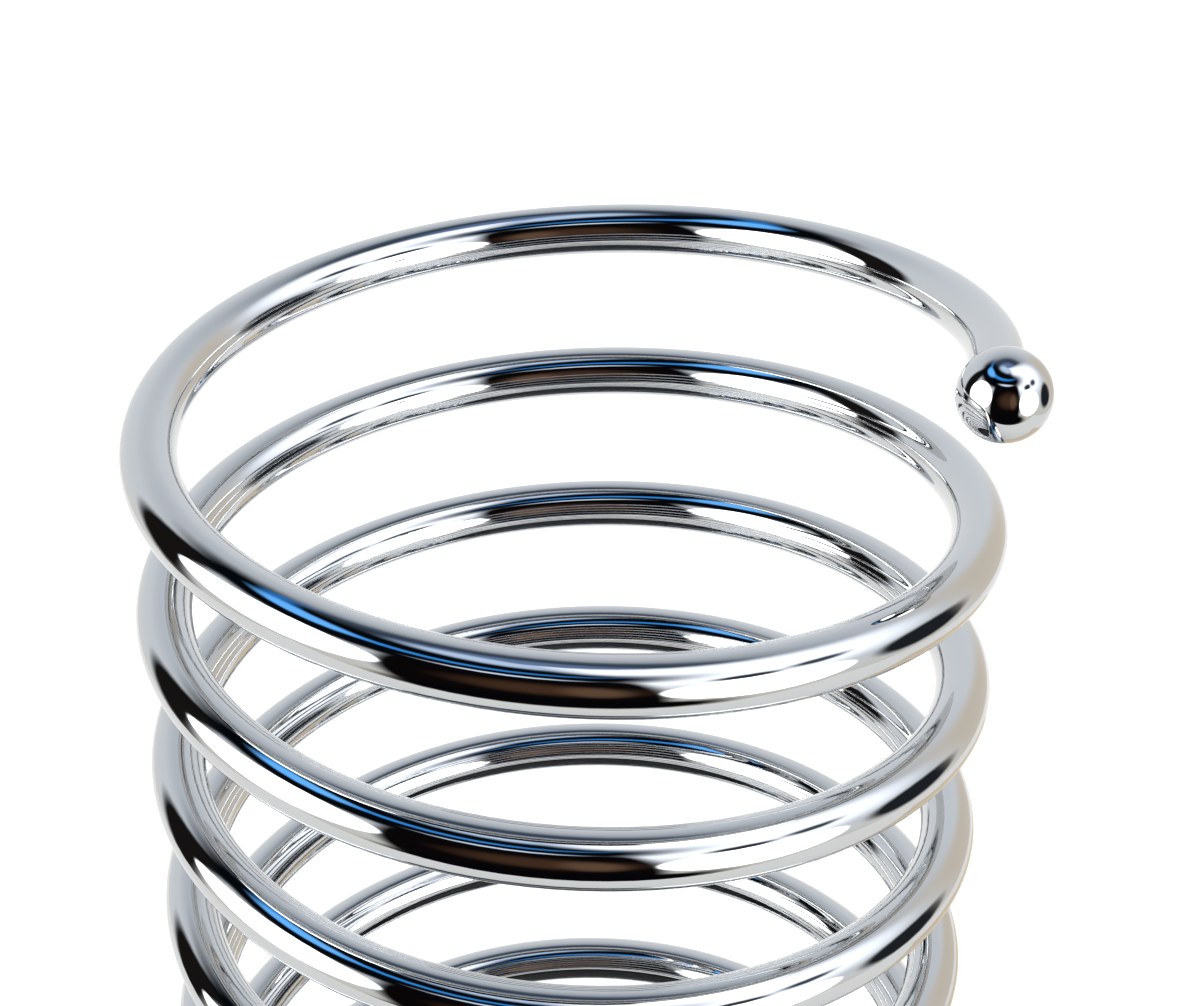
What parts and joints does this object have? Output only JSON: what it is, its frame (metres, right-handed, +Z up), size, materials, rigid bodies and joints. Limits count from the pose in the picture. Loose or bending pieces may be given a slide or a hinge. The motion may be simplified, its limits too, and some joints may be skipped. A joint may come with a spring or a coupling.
{
  "type": "spiral umbrella stand",
  "caption": "Free-standing umbrella stand: chromed tube wound as an open upright coil with a ball on each end, a lift-out drip tray inside and clip-on floor glides.",
  "frame": {"origin": "on the floor, on the axis of the coil", "axes": "+Z up along the coil's axis, +X towards the free top end with its ball"},
  "size_m": [0.2506, 0.2364, 0.456],
  "materials": {
    "chromed_tube": "bright chrome plate on bent steel tube",
    "chromed_ball": "bright chrome plate on a turned steel ball",
    "turned_steel": "turned steel, unplated",
    "zinc_plated_screw": "zinc-plated steel",
    "chromed_rod": "bright chrome plate on drawn steel rod",
    "tray_plastic": "black moulded polypropylene",
    "glide_plastic": "black moulded soft plastic"
  },
  "bodies": {
    "stand": {"coil_tube": "chromed_tube", "top_ball": "chromed_ball", "top_insert": "turned_steel", "top_stud": "zinc_plated_screw", "bottom_ball": "chromed_ball", "bottom_insert": "turned_steel", "bottom_stud": "zinc_plated_screw", "tray_rod_a": "chromed_rod", "tray_rod_b": "chromed_rod", "glide_1": "glide_plastic", "glide_2": "glide_plastic", "glide_3": "glide_plastic", "glide_4": "glide_plastic"},
    "tray": {"drip_tray": "tray_plastic"}
  },
  "joints": [
    {"name": "tray_lift", "type": "slide", "parent": "stand", "child": "tray", "axis": [0, 0, 1], "range_m": [0, 0.46]}
  ]
}
